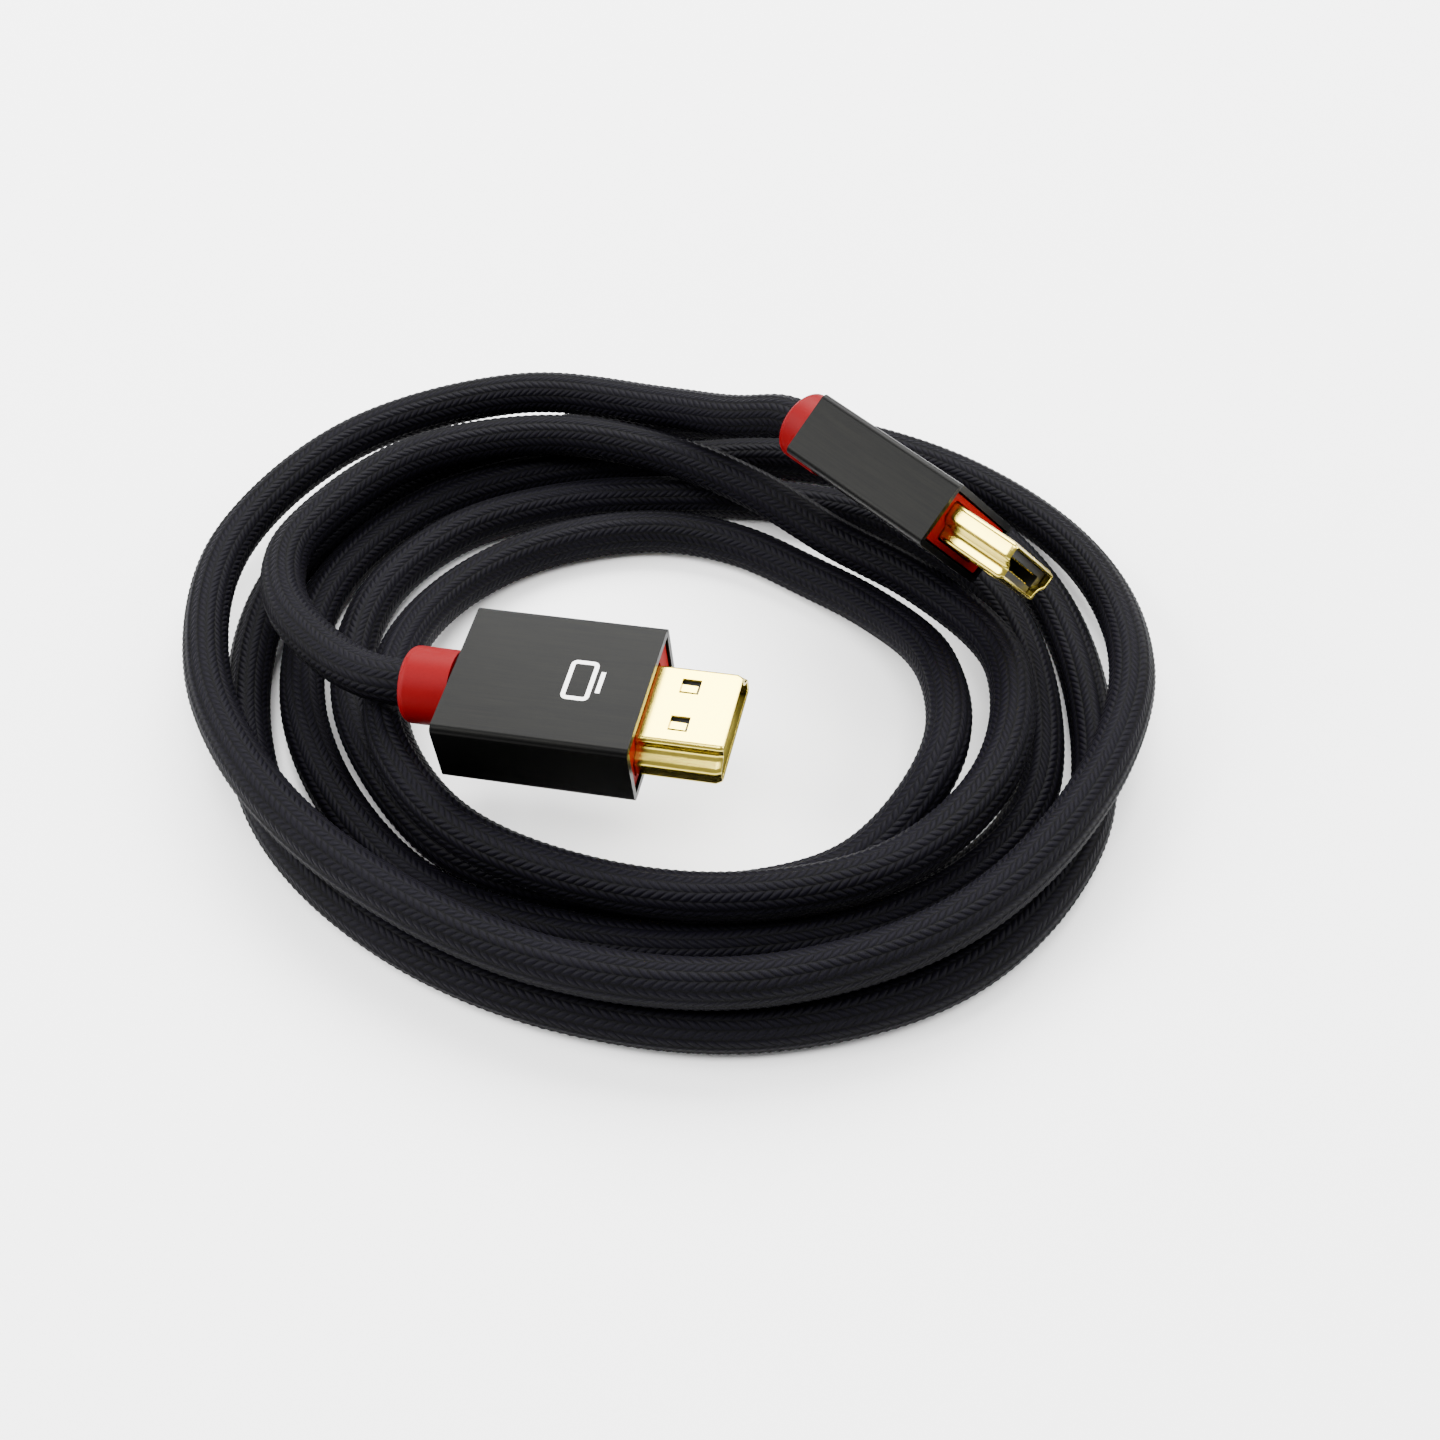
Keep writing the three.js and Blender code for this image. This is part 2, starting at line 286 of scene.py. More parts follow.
yarn_place = add_node(tree, "ShaderNodeCombineXYZ", links={0: column.outputs[0], 1: stitch.outputs[0]})
yarn_scale = add_node(
    tree,
    "ShaderNodeVectorMath",
    {"operation": "MULTIPLY"},
    {1: YARNS_PER_STITCH},
    {0: yarn_place.outputs[0]},
)
yarns = add_node(
    tree,
    "ShaderNodeTexNoise",
    values={"Scale": 1.0, "Detail": 2.0},
    links={"Vector": yarn_scale.outputs[0]},
)
height = add_node(
    tree,
    "ShaderNodeMath",
    {"operation": "MULTIPLY_ADD"},
    {1: YARN_SHARE},
    {0: yarns.outputs["Fac"], 2: relief.outputs[0]},
)
print("yarns across a stitch:", YARNS_PER_STITCH[1])

# %% Nylon braid: its colour, with painted shade in the gaps, and its sheen
PATCHES_PER_METRE = 90
PATCH_SHARE = 0.5
DARKEST_AT = 0.35
LIGHTEST_AT = 1.25 / 1.3
BRAID_RELIEF = 0.16 * MM
object_place = add_node(tree, "ShaderNodeTexCoord")
patches = add_node(
    tree,
    "ShaderNodeTexNoise",
    values={"Scale": PATCHES_PER_METRE, "Detail": 1.0},
    links={"Vector": object_place.outputs["Object"]},
)
patches_and_gap_shade = add_node(
    tree,
    "ShaderNodeMath",
    {"operation": "MULTIPLY_ADD"},
    {1: PATCH_SHARE},
    {0: patches.outputs["Fac"], 2: height.outputs[0]},
)
# Painted shade: the colour follows the relief, darkest in the gaps and lightest on the crests, with random
# patches of tone on top.
colour = add_node(tree, "ShaderNodeValToRGB", links={"Fac": patches_and_gap_shade.outputs[0]})
colour.color_ramp.elements[0].position = DARKEST_AT
colour.color_ramp.elements[0].color = linear("#020202")
colour.color_ramp.elements[1].position = LIGHTEST_AT
colour.color_ramp.elements[1].color = linear("#07060C")
bump = add_node(
    tree,
    "ShaderNodeBump",
    values={"Strength": 0.8, "Distance": BRAID_RELIEF},
    links={"Height": height.outputs[0]},
)
tree.links.new(colour.outputs["Color"], shader.inputs["Base Color"])
tree.links.new(bump.outputs["Normal"], shader.inputs["Normal"])
shader.inputs["Roughness"].default_value = 0.6
shader.inputs["Specular IOR Level"].default_value = 0.05
print("made", braid.name)

# %% [markdown]
# ### Grey anodised aluminium
# The sleeves are cut from drawn aluminium tube and anodised dark grey. The eye sees an even satin metal,
# a shade lighter where light falls along it, with very fine drawing lines along the plug. The lines
# follow the plug, so they read an attribute that keeps each point's place on the plug, in millimetres,
# from before it was put down in the coil.

# %% Material: anodised aluminium
DRAWN_LINES_PER_MM = (0.15, 6, 6)
GRIT_PER_MM = 9
FINE_RELIEF = 0.02 * MM
anodised, tree, shader = start_material("aluminium_anodised_grey")
place = add_node(tree, "ShaderNodeAttribute", {"attribute_name": "place_on_plug"})
drawn = add_node(
    tree,
    "ShaderNodeVectorMath",
    {"operation": "MULTIPLY"},
    {1: DRAWN_LINES_PER_MM},
    {0: place.outputs["Vector"]},
)
lines = add_node(
    tree,
    "ShaderNodeTexNoise",
    values={"Scale": 1.0, "Detail": 3.0},
    links={"Vector": drawn.outputs[0]},
)
grit = add_node(
    tree,
    "ShaderNodeTexNoise",
    values={"Scale": GRIT_PER_MM, "Detail": 2.0},
    links={"Vector": place.outputs["Vector"]},
)
colour = add_node(tree, "ShaderNodeValToRGB", links={"Fac": lines.outputs["Fac"]})
colour.color_ramp.elements[0].position = 0.3
colour.color_ramp.elements[0].color = linear("#121212")
colour.color_ramp.elements[1].position = 0.7
colour.color_ramp.elements[1].color = linear("#151514")
rough = add_node(
    tree,
    "ShaderNodeMapRange",
    values={"To Min": 0.36, "To Max": 0.46},
    links={"Value": grit.outputs["Fac"]},
)
bump = add_node(
    tree,
    "ShaderNodeBump",
    values={"Strength": 0.25, "Distance": FINE_RELIEF},
    links={"Height": grit.outputs["Fac"]},
)
tree.links.new(colour.outputs["Color"], shader.inputs["Base Color"])
tree.links.new(rough.outputs["Result"], shader.inputs["Roughness"])
tree.links.new(bump.outputs["Normal"], shader.inputs["Normal"])
shader.inputs["Metallic"].default_value = 1.0
print("made", anodised.name)

# %% [markdown]
# ### Gold plating
# The shells are folded steel with a thin gold plate. It is close to a mirror, so it shows cream where it
# faces the light and deep olive where it faces the dark, with only a faint unevenness from the rolling of
# the sheet.

# %% Material: gold plate
ROLLING_MARKS_PER_MM = (0.6, 3, 3)
gold, tree, shader = start_material("steel_gold_plated")
place = add_node(tree, "ShaderNodeAttribute", {"attribute_name": "place_on_plug"})
rolled = add_node(
    tree,
    "ShaderNodeVectorMath",
    {"operation": "MULTIPLY"},
    {1: ROLLING_MARKS_PER_MM},
    {0: place.outputs["Vector"]},
)
sheet = add_node(
    tree,
    "ShaderNodeTexNoise",
    values={"Scale": 1.0, "Detail": 2.0},
    links={"Vector": rolled.outputs[0]},
)
colour = add_node(tree, "ShaderNodeValToRGB", links={"Fac": sheet.outputs["Fac"]})
colour.color_ramp.elements[0].color = linear("#E2CA54")
colour.color_ramp.elements[1].color = linear("#EAD562")
rough = add_node(
    tree,
    "ShaderNodeMapRange",
    values={"To Min": 0.16, "To Max": 0.26},
    links={"Value": sheet.outputs["Fac"]},
)
bump = add_node(
    tree,
    "ShaderNodeBump",
    values={"Strength": 0.15, "Distance": FINE_RELIEF},
    links={"Height": sheet.outputs["Fac"]},
)
tree.links.new(colour.outputs["Color"], shader.inputs["Base Color"])
tree.links.new(rough.outputs["Result"], shader.inputs["Roughness"])
tree.links.new(bump.outputs["Normal"], shader.inputs["Normal"])
shader.inputs["Metallic"].default_value = 1.0
print("made", gold.name)

# %% [markdown]
# ### Moulded plastics and the ink
# The collars and nose plates are moulded in bright red plastic with a soft gloss, the contact carriers in
# black plastic filled with glass, which is duller. The mark on the sleeve is a thin coat of white ink.
# All four have a fine grain and nothing more, so one function makes them.

# %% Materials: red plastic, black plastic, white ink
ROUGHNESS_SPREAD = 0.05


def moulded_plastic(name, dark, light, roughness, grain_mm, gloss=0.5):
    made, tree, shader = start_material(name)
    place = add_node(tree, "ShaderNodeTexCoord")
    grain = add_node(
        tree,
        "ShaderNodeTexNoise",
        values={"Scale": 1 / (grain_mm * MM), "Detail": 2.0},
        links={"Vector": place.outputs["Object"]},
    )
    colour = add_node(tree, "ShaderNodeValToRGB", links={"Fac": grain.outputs["Fac"]})
    colour.color_ramp.elements[0].color = linear(dark)
    colour.color_ramp.elements[1].color = linear(light)
    rough = add_node(
        tree,
        "ShaderNodeMapRange",
        values={"To Min": roughness - ROUGHNESS_SPREAD, "To Max": roughness + ROUGHNESS_SPREAD},
        links={"Value": grain.outputs["Fac"]},
    )
    bump = add_node(
        tree,
        "ShaderNodeBump",
        values={"Strength": 0.3, "Distance": FINE_RELIEF},
        links={"Height": grain.outputs["Fac"]},
    )
    tree.links.new(colour.outputs["Color"], shader.inputs["Base Color"])
    tree.links.new(rough.outputs["Result"], shader.inputs["Roughness"])
    tree.links.new(bump.outputs["Normal"], shader.inputs["Normal"])
    shader.inputs["Specular IOR Level"].default_value = gloss
    return made


red_soft = moulded_plastic("pvc_moulded_red", "#5A0105", "#640207", 0.5, 0.25, gloss=0.06)
red_hard = moulded_plastic("abs_moulded_red", "#780403", "#840504", 0.5, 0.25, gloss=0.02)
black_hard = moulded_plastic("glass_filled_plastic_black", "#0C0C0D", "#151516", 0.55, 0.15)
white_ink = moulded_plastic("pad_printed_ink_white", "#E9E9E6", "#F4F4F2", 0.6, 0.2)
print("made four plain finishes")

# %% [markdown]
# ## The cable
# The tube is built ring by ring round the smooth line, because only a tube made this way has its columns
# of stitches running along it. For that, each ring needs a direction across the cable that turns as
# little as possible from the last one, or the columns would wind round.

# %% Find a steady direction across the cable at every ring
def steady_frames(line):
    tangents = np.gradient(line, axis=0)
    tangents /= np.linalg.norm(tangents, axis=1)[:, None]
    normal = np.cross(tangents[0], (0, 0, 1))
    normals = []
    for tangent in tangents:
        normal = normal - tangent * normal.dot(tangent)
        normal = normal / np.linalg.norm(normal)
        normals.append(normal)
    normals = np.array(normals)
    return normals, np.cross(tangents, normals)


print("first direction across:", [round(float(value), 2) for value in steady_frames(centres)[0][0]])

# %% [markdown]
# Each ring has two points for each column, one on its crest and one in its gap. A crest stands higher on
# every other ring, one ring later in the next column. The tube reaches a little past both ends of the
# line, into the sockets of the collars.

# %% Build the braided tube
CREST = 2.75 * MM
GAP_DEPTH = 0.17 * MM
STITCH_DIP = 0.09 * MM
COLLAR_SOCKET = 0.9 * MM
AROUND = 2 * COLUMNS


def into_socket(end, previous):
    away = end - previous
    return end + away / np.linalg.norm(away) * COLLAR_SOCKET


def braided_tube(name, line):
    line = np.vstack([into_socket(line[0], line[1]), line, into_socket(line[-1], line[-2])])
    across, up = steady_frames(line)
    rings = len(line)
    ring, point = np.meshgrid(np.arange(rings), np.arange(AROUND), indexing="ij")
    low_stitch = (ring + point // 2) % 2
    radius = np.where(point % 2 == 0, CREST - STITCH_DIP * low_stitch, CREST - GAP_DEPTH)
    angle = 2 * np.pi * (point + 0.5) / AROUND
    outwards = np.cos(angle)[..., None] * across[:, None] + np.sin(angle)[..., None] * up[:, None]
    places = line[:, None] + radius[..., None] * outwards
    here = ring[:-1] * AROUND + point[:-1]
    beside = ring[:-1] * AROUND + (point[:-1] + 1) % AROUND
    faces = np.stack([here, beside, beside + AROUND, here + AROUND], axis=-1)
    caps = [list(range(AROUND))[::-1], list(range((rings - 1) * AROUND, rings * AROUND))]
    mesh = bpy.data.meshes.new(name)
    mesh.from_pydata(places.reshape(-1, 3).tolist(), [], faces.reshape(-1, 4).tolist() + caps)
    along = np.r_[0, np.cumsum(np.linalg.norm(np.diff(line, axis=0), axis=1))] / MM
    u0 = (point[:-1] + 0.5) / AROUND
    u1 = u0 + 1 / AROUND
    v0 = along[ring[:-1]]
    v1 = along[ring[:-1] + 1]
    corners = np.stack([u0, v0, u1, v0, u1, v1, u0, v1], axis=-1)
    cap_corners = np.zeros(4 * AROUND)
    layer = mesh.uv_layers.new(name="round_and_along")
    layer.data.foreach_set("uv", np.r_[corners.ravel(), cap_corners].astype(np.float32))
    mesh.shade_smooth()
    made = bpy.data.objects.new(name, mesh)
    bpy.context.collection.objects.link(made)
    return made


cable = braided_tube("braided_cable", centres)
cable.data.materials.append(braid)
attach(cable, "root")
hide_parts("cable")
print(cable.name, len(cable.data.polygons), "faces")

# %% [markdown]
# ## The plugs
# Both plugs are alike, so each piece is modelled once, lying along X with its mouth at X = 0, and copied.
# The pieces start as blocks. A face or an edge is picked by where it points, and then an operator works
# on what is picked.

# %% Helpers: a block, and picking faces and edges
FACING = 0.9


def only(piece):
    bpy.ops.object.select_all(action="DESELECT")
    piece.select_set(True)
    bpy.context.view_layer.objects.active = piece


def add_block(name, low, high):
    bpy.ops.object.select_all(action="DESELECT")
    middle = [(a + b) / 2 * MM for a, b in zip(low, high)]
    bpy.ops.mesh.primitive_cube_add(size=1, location=middle)
    made = bpy.context.object
    made.name = name
    made.scale = [(b - a) * MM for a, b in zip(low, high)]
    bpy.ops.object.transform_apply(location=True, rotation=True, scale=True)
    return made


def select(piece, kind, test):
    bpy.ops.mesh.select_mode(type=kind)
    bpy.ops.mesh.select_all(action="DESELECT")
    mesh = bmesh.from_edit_mesh(piece.data)
    found = {"VERT": mesh.verts, "EDGE": mesh.edges, "FACE": mesh.faces}[kind]
    for item in found:
        if test(item):
            item.select_set(True)
    mesh.select_flush_mode()
    bmesh.update_edit_mesh(piece.data)


def along_x(edge):
    a, b = (vert.co for vert in edge.verts)
    return abs(a.x - b.x) > 0.5 * (a - b).length


def many_sided(face):
    return len(face.verts) > 4


print("a face counts as facing a way up to", round(math.degrees(math.acos(FACING))), "degrees off it")

# %% [markdown]
# The sleeve and the printed mark are both rings of a kind, made by opening a block from one end to the
# other. Narrow round edges shade smoothly, and weighted normals keep the wide flat faces beside them
# flat.

# %% Helpers: open a block right through, apply a modifier, soften the edges
SMOOTH_ANGLE = math.radians(40)
RIM_ANGLE = math.radians(60)


def open_through(piece, axis, wall):
    select(piece, "FACE", lambda face: abs(face.normal[axis]) > FACING)
    bpy.ops.mesh.inset(thickness=wall * MM, depth=0)
    select(piece, "FACE", lambda face: abs(face.normal[axis]) > FACING and many_sided(face))
    bpy.ops.mesh.bridge_edge_loops()
    bpy.ops.mesh.select_all(action="SELECT")
    bpy.ops.mesh.normals_make_consistent(inside=False)


def use_modifier(piece, kind, **settings):
    only(piece)
    made = piece.modifiers.new(kind.lower(), kind)
    for name, value in settings.items():
        setattr(made, name, value)
    bpy.ops.object.modifier_apply(modifier=made.name)


def soften(piece):
    only(piece)
    bpy.ops.object.shade_smooth_by_angle(angle=SMOOTH_ANGLE)
    use_modifier(piece, "WEIGHTED_NORMAL", keep_sharp=True)


print("edges up to", round(math.degrees(SMOOTH_ANGLE)), "degrees shade smoothly")

# %% [markdown]
# A copy gets a mesh of its own, notes where each of its points is on the plug, for the materials, and is
# then put down where its plug lies.

# %% Helper: put a finished piece down on both plugs
def place_copies(master, name, material, letters="ab"):
    copies = []
    for letter in letters:
        made = master.copy()
        made.data = master.data.copy()
        made.name = name + "_" + letter
        made.data.name = made.name
        bpy.context.collection.objects.link(made)
        spots = made.data.attributes.new("place_on_plug", "FLOAT_VECTOR", "POINT")
        places = np.empty(3 * len(made.data.vertices), np.float32)
        made.data.vertices.foreach_get("co", places)
        spots.data.foreach_set("vector", places / MM)
        plug = {"a": PLUG_A, "b": PLUG_B}[letter]
        in_metres = Matrix.Translation(SHIFT * MM) @ Matrix.Scale(MM, 4)
        made.data.transform(in_metres @ plug_matrix(plug) @ Matrix.Scale(1 / MM, 4))
        made.data.materials.clear()
        made.data.materials.append(material)
        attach(made, "root")
        copies.append(made)
    bpy.data.objects.remove(master)
    print(name, "x", len(copies), "-", len(copies[0].data.polygons), "faces each")
    return copies


print("plug A is rolled", PLUG_A["roll"], "and plug B", PLUG_B["roll"], "degrees")

# %% [markdown]
# ### Sleeve
# The sleeve is a length of flat tube with small round corners, open at both ends, its rims broken by a
# fine chamfer that catches the light. A block with its long edges bevelled, its ends inset and the two
# insets bridged through gives exactly that.

# %% Model the aluminium sleeve
HOUSING_WIDTH = 18.4
HOUSING_THICKNESS = 8.4
HOUSING_WALL = 0.8
HOUSING_CORNER = 0.8
RIM_CHAMFER = 0.15
half_width = HOUSING_WIDTH / 2
half_thickness = HOUSING_THICKNESS / 2
sleeve = add_block(
    "sleeve",
    (-HOUSING_LENGTH, -half_width, -half_thickness),
    (0, half_width, half_thickness),
)
only(sleeve)
bpy.ops.object.mode_set(mode="EDIT")
select(sleeve, "EDGE", along_x)
bpy.ops.mesh.bevel(offset=HOUSING_CORNER * MM, segments=8, affect="EDGES")
open_through(sleeve, 0, HOUSING_WALL)
bpy.ops.object.mode_set(mode="OBJECT")
use_modifier(sleeve, "BEVEL", width=RIM_CHAMFER * MM, segments=2, limit_method="ANGLE", angle_limit=RIM_ANGLE)
soften(sleeve)
sleeves = place_copies(sleeve, "aluminium_sleeve", anodised)
for made, letter in zip(sleeves, "ab"):
    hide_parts("housing_" + letter)

# %% [markdown]
# ### Shell
# The shell is folded from one strip of sheet: a wide half below and a narrower half above, joined by two
# sloping shoulders, with a seam down the middle of the wide face and two latch windows in the narrow one.
# It starts as a block for the wide half. Its top is pulled up and narrowed, and pulled up again. Then the
# ends are opened, the open tip is drawn out into a bent-in lip, and a Solidify modifier gives the sheet
# its thickness.

# %% Model the folded shell
SHELL_WIDTH = 13.9
SHELL_HEIGHT = 4.45
SHELL_NARROW_WIDTH = 10.8
SHELL_OUT = 9.3
SHELL_INSIDE = 5
SHELL_WALL = 0.35
SHELL_CORNER = 0.55
SHOULDER_LOW = -0.1
SHOULDER_HIGH = 0.8
LIP_LENGTH = 0.7
LIP_DROP = 0.28
TIP_MARGIN = 0.01
shell_half = SHELL_HEIGHT / 2
lip_start = SHELL_OUT - LIP_LENGTH
shoulder_rise = (0, 0, (SHOULDER_HIGH - SHOULDER_LOW) * MM)
top_rise = (0, 0, (shell_half - SHOULDER_HIGH) * MM)
lip_scale = (1, 1 - 2 * LIP_DROP / SHELL_WIDTH, 1 - 2 * LIP_DROP / SHELL_HEIGHT)
shell = add_block(
    "shell",
    (-SHELL_INSIDE, -SHELL_WIDTH / 2, -shell_half),
    (lip_start, SHELL_WIDTH / 2, SHOULDER_LOW),
)
only(shell)
bpy.ops.object.mode_set(mode="EDIT")
select(shell, "FACE", lambda face: face.normal.z > FACING)
bpy.ops.mesh.extrude_region_move(TRANSFORM_OT_translate={"value": shoulder_rise})
bpy.ops.transform.resize(value=(1, SHELL_NARROW_WIDTH / SHELL_WIDTH, 1))
bpy.ops.mesh.extrude_region_move(TRANSFORM_OT_translate={"value": top_rise})
select(shell, "FACE", lambda face: abs(face.normal.x) > FACING)
bpy.ops.mesh.delete(type="FACE")
select(shell, "EDGE", along_x)
bpy.ops.mesh.bevel(offset=SHELL_CORNER * MM, segments=5, affect="EDGES")
select(shell, "EDGE", lambda edge: all(vert.co.x > (lip_start - TIP_MARGIN) * MM for vert in edge.verts))
bpy.ops.mesh.extrude_edges_move(TRANSFORM_OT_translate={"value": (LIP_LENGTH * MM, 0, 0)})
bpy.ops.transform.resize(value=lip_scale, center_override=(0, 0, 0))
bpy.ops.mesh.select_all(action="SELECT")
bpy.ops.mesh.normals_make_consistent(inside=False)
bpy.ops.object.mode_set(mode="OBJECT")
use_modifier(shell, "SOLIDIFY", thickness=SHELL_WALL * MM, offset=-1, use_even_offset=True)
print("shell has", len(shell.data.polygons), "faces before the cuts")

# %% [markdown]
# The two latch windows and the seam are cut with a Boolean modifier, each by a block that reaches past
# the sheet, so that no skin is left. The cut edges are then broken a little, as a press leaves them.

# %% Cut the latch windows and the seam
WINDOW_LENGTH = 2.1
WINDOW_WIDTH = 2.0
WINDOW_FROM_MOUTH = 3.9
WINDOW_SPACING = 5.3
WINDOW_CUT_DEPTH = 0.6
SEAM_WIDTH = 0.12
SHELL_EDGE = 0.06
PAST_THE_SHEET = 0.5
PAST_THE_ENDS = 1
window_start = WINDOW_FROM_MOUTH - WINDOW_LENGTH / 2
window_end = WINDOW_FROM_MOUTH + WINDOW_LENGTH / 2


def cut(piece, low, high):
    cutter = add_block("cutter", low, high)
    use_modifier(piece, "BOOLEAN", operation="DIFFERENCE", object=cutter, solver="EXACT")
    bpy.data.objects.remove(cutter)


for sign in (-1, 1):
    middle = sign * WINDOW_SPACING / 2
    cut(
        shell,
        (window_start, middle - WINDOW_WIDTH / 2, shell_half - WINDOW_CUT_DEPTH),
        (window_end, middle + WINDOW_WIDTH / 2, shell_half + PAST_THE_SHEET),
    )
cut(
    shell,
    (-SHELL_INSIDE - PAST_THE_ENDS, -SEAM_WIDTH / 2, -shell_half - PAST_THE_SHEET),
    (SHELL_OUT + PAST_THE_ENDS, SEAM_WIDTH / 2, -shell_half + SHELL_WALL / 2),
)
use_modifier(shell, "BEVEL", width=SHELL_EDGE * MM, segments=2, limit_method="ANGLE", angle_limit=RIM_ANGLE)
print("shell has", len(shell.data.polygons), "faces after the cuts")

# %% [markdown]
# Behind each window the sheet has a small spring tongue that the socket's latch presses on. It shows as a
# lighter bar in the dark window, so each is a thin strip with round edges, dipping a little towards its
# tip.

# %% Add the spring tongues and put the shells down
TONGUE_LENGTH = 2.6
TONGUE_WIDTH = 1.0
TONGUE_THICKNESS = 0.12
TONGUE_ROOT = 0.8
TONGUE_DIP = 0.08
TONGUE_EDGE = 0.03
INTO_THE_SHEET = 0.01


def add_tongue(middle):
    root = window_start - TONGUE_ROOT
    inside = shell_half - SHELL_WALL
    tongue = add_block(
        "tongue",
        (root, middle - TONGUE_WIDTH / 2, inside - TONGUE_THICKNESS),
        (root + TONGUE_LENGTH, middle + TONGUE_WIDTH / 2, inside + INTO_THE_SHEET),
    )
    only(tongue)
    bpy.ops.object.mode_set(mode="EDIT")
    select(tongue, "VERT", lambda vert: vert.co.x > WINDOW_FROM_MOUTH * MM)
    bpy.ops.transform.translate(value=(0, 0, -TONGUE_DIP * MM))
    bpy.ops.object.mode_set(mode="OBJECT")
    use_modifier(tongue, "BEVEL", width=TONGUE_EDGE * MM, segments=2, limit_method="ANGLE")
    return tongue


tongues = [add_tongue(sign * WINDOW_SPACING / 2) for sign in (-1, 1)]
only(shell)
for tongue in tongues:
    tongue.select_set(True)
bpy.ops.object.join()
soften(shell)
shells = place_copies(shell, "folded_shell", gold)
for made, letter in zip(shells, "ab"):
    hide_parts("shell_" + letter)

# %% [markdown]
# ### Contacts
# Nineteen thin contacts lie in the slot of the carrier, ten along one wall and nine along the other,
# shifted by half a step. They show only from the front of the plug. One strip is modelled and repeated
# with an Array.

# %% Model the contacts
CONTACT_PITCH = 1.0
CONTACT_WIDTH = 0.45
CONTACT_HEIGHT = 0.16
CONTACT_EDGE = 0.05
CONTACT_FROM = 3.2
CONTACT_TO = 7.9
SLOT_HEIGHT = 1.6


def add_contacts(count, wall):
    first = -(count - 1) / 2 * CONTACT_PITCH
    low, high = sorted((wall * SLOT_HEIGHT / 2, wall * (SLOT_HEIGHT / 2 - CONTACT_HEIGHT)))
    row = add_block(
        "contacts",
        (CONTACT_FROM, first - CONTACT_WIDTH / 2, low),
        (CONTACT_TO, first + CONTACT_WIDTH / 2, high),
    )
    use_modifier(row, "BEVEL", width=CONTACT_EDGE * MM, segments=2, limit_method="ANGLE")
    use_modifier(
        row,
        "ARRAY",
        count=count,
        use_relative_offset=False,
        use_constant_offset=True,
        constant_offset_displace=(0, CONTACT_PITCH * MM, 0),
    )
    return row


upper = add_contacts(9, 1)
lower = add_contacts(10, -1)
only(lower)
upper.select_set(True)
bpy.ops.object.join()
soften(lower)
contacts = place_copies(lower, "contacts", gold)

# %% [markdown]
# ### Collar
# The collar is one red moulding: a block that closes the rear of the sleeve, and a short round neck that
# the cable goes into. The neck is a cylinder whose rear rim is rounded over and whose end is inset and
# pushed in, so that the cable stands in a shallow socket. Its front is narrowed to fit inside the block
# and drawn out into it, and a Boolean union joins the two.

# %% Model the collar's block
COLLAR_BLOCK = 5
COLLAR_RECESS = 0.3
BLOCK_EDGE = 0.35
FIT = 0.25
block_half_width = half_width - HOUSING_WALL - FIT
block_half_height = half_thickness - HOUSING_WALL - FIT
rear = -HOUSING_LENGTH + COLLAR_RECESS
collar = add_block(
    "collar",
    (rear, -block_half_width, -block_half_height),
    (rear + COLLAR_BLOCK, block_half_width, block_half_height),
)
use_modifier(collar, "BEVEL", width=BLOCK_EDGE * MM, segments=3, limit_method="ANGLE")
print("collar block", round(2 * block_half_width, 2), "x", round(2 * block_half_height, 2), "mm")

# %% Add the collar's neck and put the collars down
COLLAR_DIAMETER = 8.8
COLLAR_ROUND = 1.0
NECK_SIDES = 72
NECK_ROOT = 2
SOCKET_RIM = 0.5
SOCKET_DEPTH = 1.1


def add_neck():
    start, end = -HOUSING_LENGTH - COLLAR_OUT, -HOUSING_LENGTH - FIT
    bpy.ops.object.select_all(action="DESELECT")
    bpy.ops.mesh.primitive_cylinder_add(
        vertices=NECK_SIDES,
        radius=COLLAR_DIAMETER / 2 * MM,
        depth=(end - start) * MM,
        location=((start + end) / 2 * MM, 0, 0),
        rotation=(0, math.pi / 2, 0),
    )
    neck = bpy.context.object
    bpy.ops.object.transform_apply(location=True, rotation=True, scale=True)
    bpy.ops.object.mode_set(mode="EDIT")
    select(neck, "FACE", lambda face: face.normal.x < -FACING)
    bpy.ops.mesh.bevel(offset=COLLAR_ROUND * MM, segments=8, affect="EDGES")
    select(neck, "FACE", lambda face: face.normal.x < -FACING and many_sided(face))
    bpy.ops.mesh.inset(thickness=SOCKET_RIM * MM, depth=0)
    bpy.ops.mesh.extrude_region_move(TRANSFORM_OT_translate={"value": (SOCKET_DEPTH * MM, 0, 0)})
    select(neck, "FACE", lambda face: face.normal.x > FACING and many_sided(face))
    narrowed = block_half_height / (COLLAR_DIAMETER / 2)
    bpy.ops.mesh.extrude_region_move(TRANSFORM_OT_translate={"value": (0, 0, 0)})
    bpy.ops.transform.resize(value=(1, narrowed, narrowed))
    bpy.ops.mesh.extrude_region_move(TRANSFORM_OT_translate={"value": (NECK_ROOT * MM, 0, 0)})
    bpy.ops.object.mode_set(mode="OBJECT")
    return neck


neck = add_neck()
use_modifier(collar, "BOOLEAN", operation="UNION", object=neck, solver="EXACT")
bpy.data.objects.remove(neck)
soften(collar)
collars = place_copies(collar, "red_collar", red_soft)
for made, letter in zip(collars, "ab"):
    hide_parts("collar_" + letter)

# %% [markdown]
# ### Nose plate and contact carrier
# These two are flat-faced mouldings whose solids already have the right shape, so they stay and only get
# their finish.

# %% Finish the nose plates and the carriers
for letter in "ab":
    for node, finish in (("nose_", red_hard), ("carrier_", black_hard)):
        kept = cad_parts[node + letter]
        kept.data.materials.clear()
        kept.data.materials.append(finish)
print("finished", [name for name in sorted(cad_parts) if name.startswith(("nose", "carrier"))])

# %% [markdown]
# ### Mark on the sleeve
# The upper sleeve carries a small white printed mark. It is a plain picture of a screen, so it is a flat
# ring and a short foot with hardly any height.

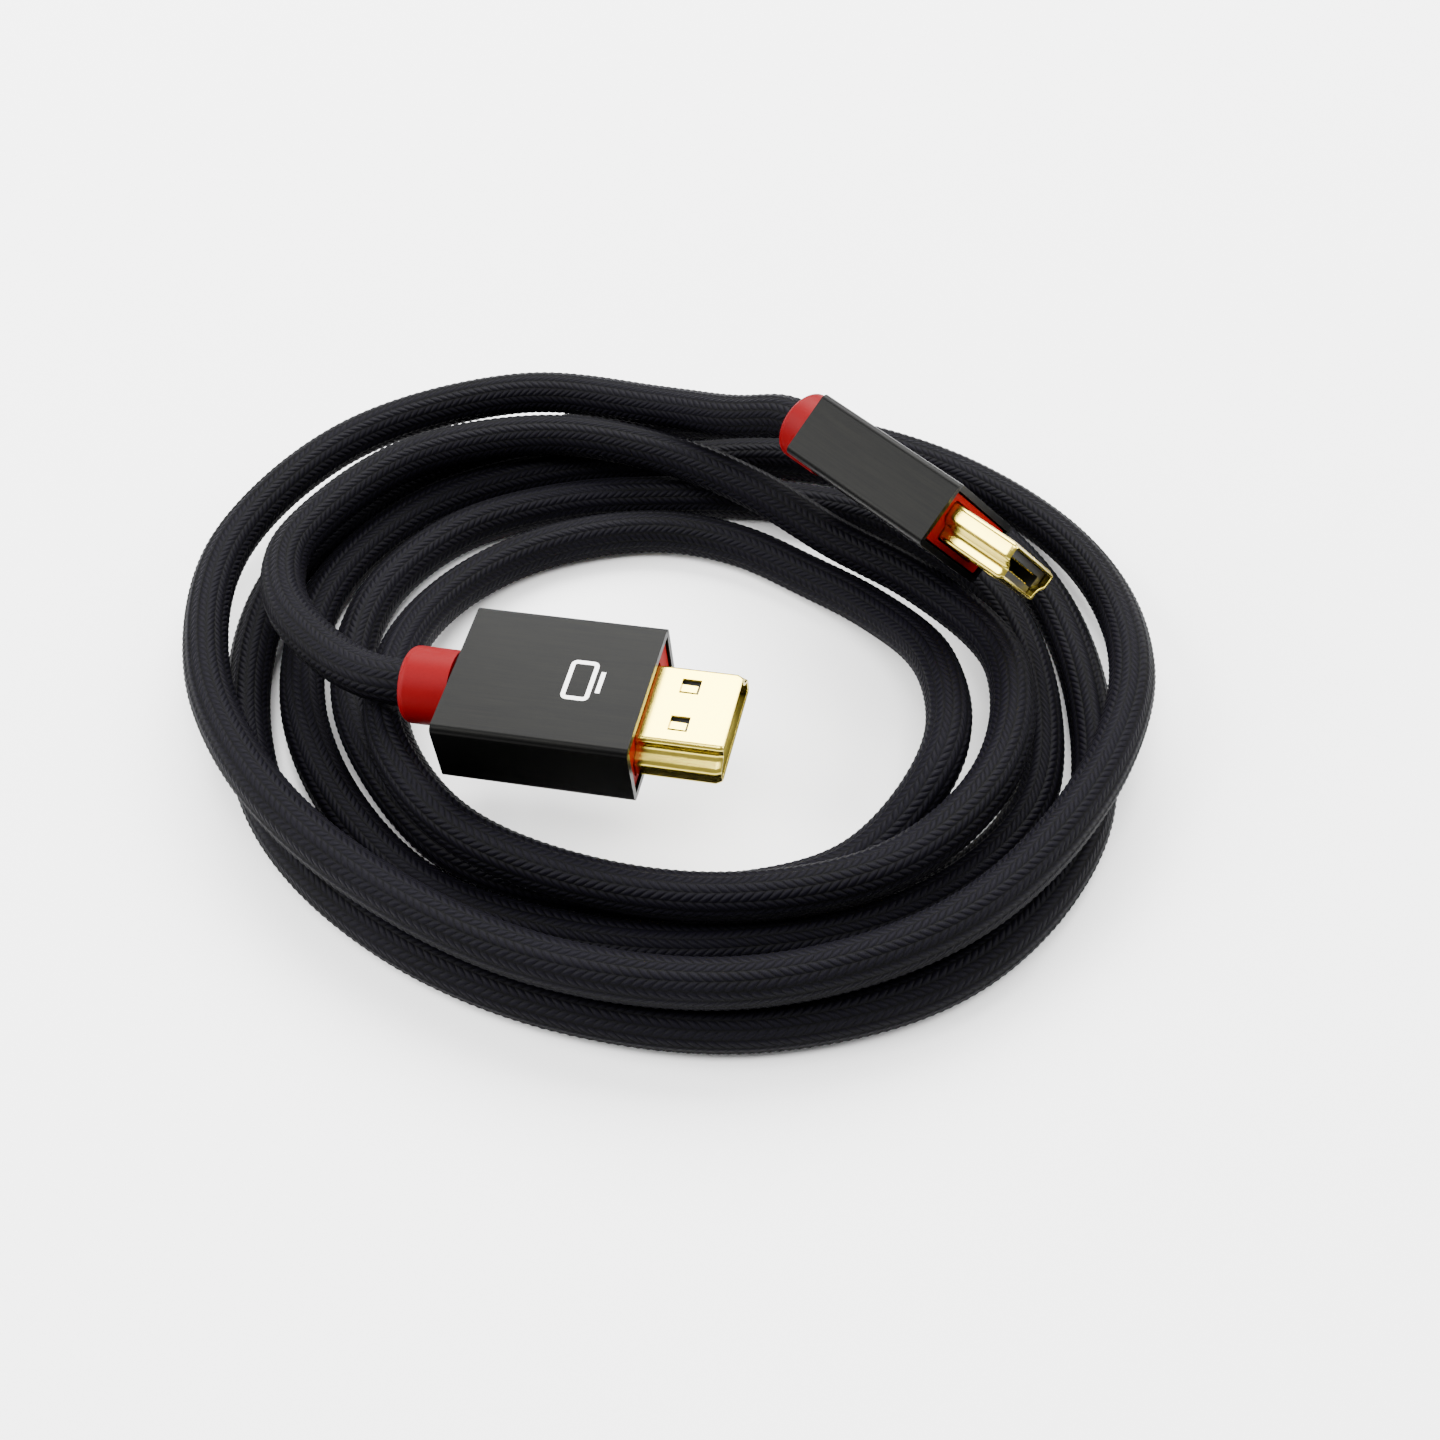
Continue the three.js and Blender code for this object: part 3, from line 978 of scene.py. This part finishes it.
# %% Model the printed mark
MARK_LENGTH = 3.2
MARK_WIDTH = 5.6
MARK_LINE = 0.5
MARK_CORNER = 0.7
MARK_HEIGHT = 0.03
MARK_SUNK = 0.01
MARK_MIDDLE = -7.6
FOOT_GAP = 0.45
FOOT_WIDTH = 3
mark_end = MARK_MIDDLE + MARK_LENGTH / 2
foot_start = mark_end + FOOT_GAP
screen = add_block(
    "mark",
    (MARK_MIDDLE - MARK_LENGTH / 2, -MARK_WIDTH / 2, half_thickness - MARK_SUNK),
    (mark_end, MARK_WIDTH / 2, half_thickness + MARK_HEIGHT),
)
only(screen)
bpy.ops.object.mode_set(mode="EDIT")
select(screen, "EDGE", lambda edge: abs(edge.verts[0].co.z - edge.verts[1].co.z) > MARK_HEIGHT / 2 * MM)
bpy.ops.mesh.bevel(offset=MARK_CORNER * MM, segments=6, affect="EDGES")
open_through(screen, 2, MARK_LINE)
bpy.ops.object.mode_set(mode="OBJECT")
foot = add_block(
    "foot",
    (foot_start, -FOOT_WIDTH / 2, half_thickness - MARK_SUNK),
    (foot_start + MARK_LINE, FOOT_WIDTH / 2, half_thickness + MARK_HEIGHT),
)
only(screen)
foot.select_set(True)
bpy.ops.object.join()
place_copies(screen, "printed_mark", white_ink, letters="a")

# %% [markdown]
# ## Cord facts
# The pieces of plug B are gathered into one list.

far_pieces = [pair[1] for pair in (sleeves, shells, contacts, collars)]
far_pieces += [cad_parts["nose_b"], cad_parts["carrier_b"]]
print("cord declared,", round(cable_length, 3), "m")

# %% [markdown]
# ## Floor and light
# The picture is a studio one on white. A large soft panel behind the coil does most of the work, because
# the flat faces mirror it to the camera. One to the left, one to the right and one above give the faces
# turned those ways their shine. The rest of the room is dimmer, so faces turned down and to the front
# stay dark.

# %% Lay the floor
FLOOR_WIDTH = 6
bpy.ops.object.select_all(action="DESELECT")
bpy.ops.mesh.primitive_plane_add(size=FLOOR_WIDTH)
floor = bpy.context.object
floor.name = "studio_floor"
paper, tree, shader = start_material("paper_matt_white")
shader.inputs["Base Color"].default_value = linear("#F7F7F7")
shader.inputs["Roughness"].default_value = 0.95
floor.data.materials.append(paper)
print("floor", floor.dimensions.x, "m wide")

# %% Hang the light panels
PANEL_DISTANCE = 0.9
PANELS = [
    ("panel_behind", (0.05, 0.67, 0.74), (0.9, 0.6), 34),
    ("panel_left", (-0.8, -0.05, 0.6), (0.6, 0.6), 20),
    ("panel_right", (0.85, 0.1, 0.55), (0.6, 0.5), 9),
    ("panel_above", (0, -0.31, 0.95), (0.55, 0.3), 9),
]
ROOM_STRENGTH = 0.4


def add_panel(name, direction, size, watts):
    light = bpy.data.lights.new(name, "AREA")
    light.shape = "RECTANGLE"
    light.size, light.size_y = size
    light.energy = watts
    panel = bpy.data.objects.new(name, light)
    panel.location = Vector(direction).normalized() * PANEL_DISTANCE
    panel.rotation_euler = Vector(direction).to_track_quat("Z", "Y").to_euler()
    bpy.context.collection.objects.link(panel)


for panel in PANELS:
    add_panel(*panel)
room = bpy.data.worlds.new("studio_room")
room.use_nodes = True
room.node_tree.nodes["Background"].inputs["Color"].default_value = (1, 1, 1, 1)
room.node_tree.nodes["Background"].inputs["Strength"].default_value = ROOM_STRENGTH
bpy.context.scene.world = room
print(len(PANELS), "panels and the room")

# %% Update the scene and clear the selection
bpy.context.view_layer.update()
bpy.ops.object.select_all(action="DESELECT")
